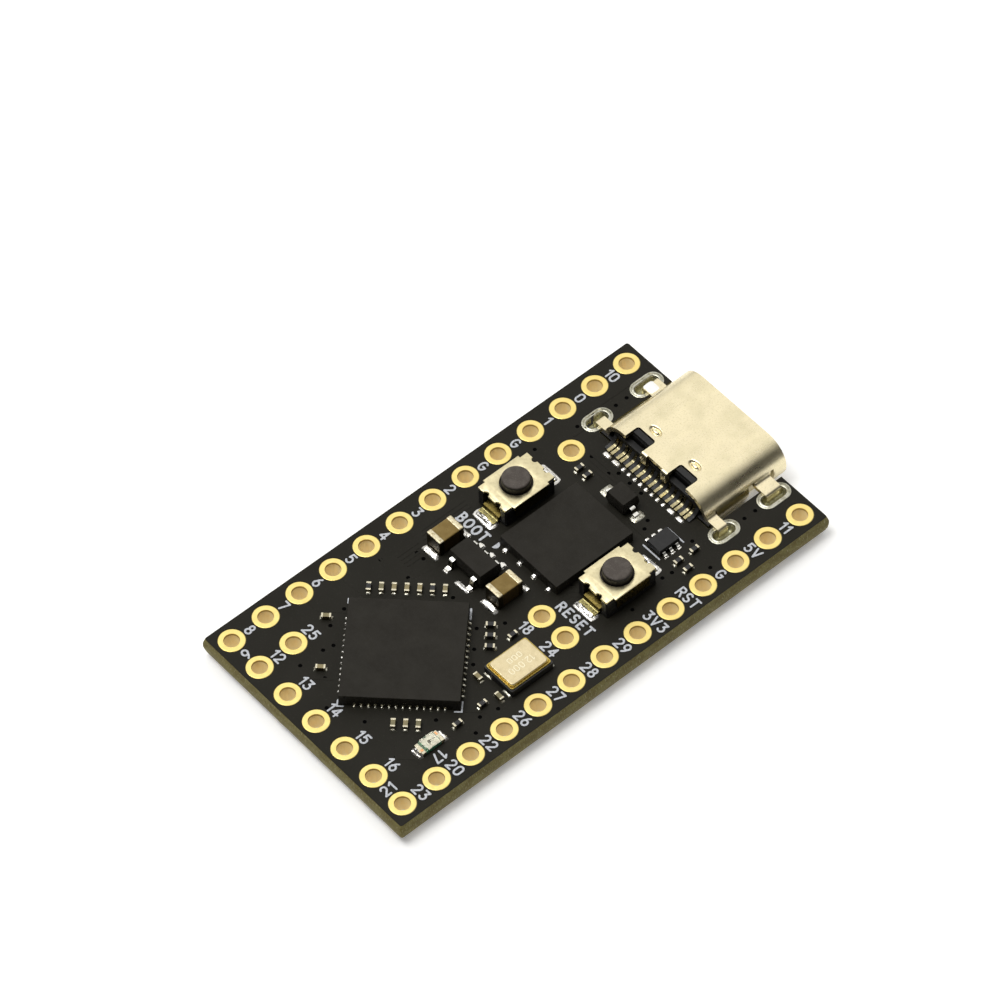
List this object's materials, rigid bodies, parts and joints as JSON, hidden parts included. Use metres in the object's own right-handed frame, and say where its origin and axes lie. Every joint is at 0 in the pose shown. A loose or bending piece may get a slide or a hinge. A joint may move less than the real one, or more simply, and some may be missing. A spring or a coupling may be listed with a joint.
{
  "type": "microcontroller development board",
  "caption": "Small black microcontroller board with a sunk USB-C socket, gold-ringed pin holes, boot and reset push buttons and surface-mounted chips.",
  "frame": {"origin": "middle of the pin-hole grid on the board's underside", "axes": "+X across the board, +Y along the board towards the USB socket, +Z out of the component side"},
  "size_m": [0.0176, 0.0334, 0.0036],
  "materials": {
    "solder_mask": "satin black solder mask over glass-fibre laminate",
    "socket_shell": "nickel-plated stainless sheet, warm satin",
    "black_resin": "black liquid-crystal polymer, fine satin",
    "spring_steel": "plain stainless sheet",
    "gold_plate": "gold plating, satin",
    "button_cover": "stamped stainless cover, warm satin",
    "plunger_resin": "dark grey nylon, fine satin",
    "terminal_brass": "tinned brass leads",
    "chip_resin": "fine-grained moulding resin, dark grey",
    "black_ceramic": "dark alumina ceramic",
    "crystal_lid": "gold-flashed metal lid, satin",
    "lamp_base": "green laminate",
    "lamp_lens": "cloudy clear epoxy",
    "capacitor_body": "brown fired ceramic with tinned ends",
    "resistor_body": "black glaze on white ceramic with tinned ends",
    "solder": "bright reflowed solder",
    "silkscreen": "printed white ink"
  },
  "bodies": {
    "board": {"circuit_board": "solder_mask", "usb_shell": "socket_shell", "usb_insulator": "black_resin", "usb_midplate": "spring_steel", "usb_contact_01": "gold_plate", "usb_contact_02": "gold_plate", "usb_contact_03": "gold_plate", "usb_contact_04": "gold_plate", "usb_contact_05": "gold_plate", "usb_contact_06": "gold_plate", "usb_contact_07": "gold_plate", "usb_contact_08": "gold_plate", "usb_contact_09": "gold_plate", "usb_contact_10": "gold_plate", "usb_contact_11": "gold_plate", "usb_contact_12": "gold_plate", "boot_base": "black_resin", "boot_cover": "button_cover", "boot_dome": "spring_steel", "boot_terminal_front": "terminal_brass", "boot_terminal_rear": "terminal_brass", "reset_base": "black_resin", "reset_cover": "button_cover", "reset_dome": "spring_steel", "reset_terminal_front": "terminal_brass", "reset_terminal_rear": "terminal_brass", "microcontroller_chip": "chip_resin", "flash_chip": "chip_resin", "voltage_regulator": "chip_resin", "input_diode": "chip_resin", "surge_guard_chip": "chip_resin", "crystal_base": "black_ceramic", "crystal_lid": "crystal_lid", "indicator_base": "lamp_base", "indicator_lens": "lamp_lens", "input_capacitor": "capacitor_body", "output_capacitor": "capacitor_body", "capacitor_01": "capacitor_body", "capacitor_02": "capacitor_body", "capacitor_03": "capacitor_body", "capacitor_04": "capacitor_body", "capacitor_05": "capacitor_body", "capacitor_06": "capacitor_body", "capacitor_07": "capacitor_body", "capacitor_08": "capacitor_body", "capacitor_09": "capacitor_body", "capacitor_10": "capacitor_body", "capacitor_11": "capacitor_body", "resistor_01": "resistor_body", "resistor_02": "resistor_body", "resistor_03": "resistor_body", "resistor_04": "resistor_body", "resistor_05": "resistor_body", "resistor_06": "resistor_body", "resistor_07": "resistor_body", "resistor_08": "resistor_body", "resistor_09": "resistor_body", "resistor_10": "resistor_body"},
    "boot_button": {"boot_plunger": "plunger_resin"},
    "reset_button": {"reset_plunger": "plunger_resin"}
  },
  "joints": [
    {"name": "boot_press", "type": "slide", "parent": "board", "child": "boot_button", "axis": [0, 0, -1], "range_m": [0, 0.00025], "stiffness_N_per_m": 6000, "deforming": ["boot_dome"]},
    {"name": "reset_press", "type": "slide", "parent": "board", "child": "reset_button", "axis": [0, 0, -1], "range_m": [0, 0.00025], "stiffness_N_per_m": 6000, "deforming": ["reset_dome"]}
  ]
}
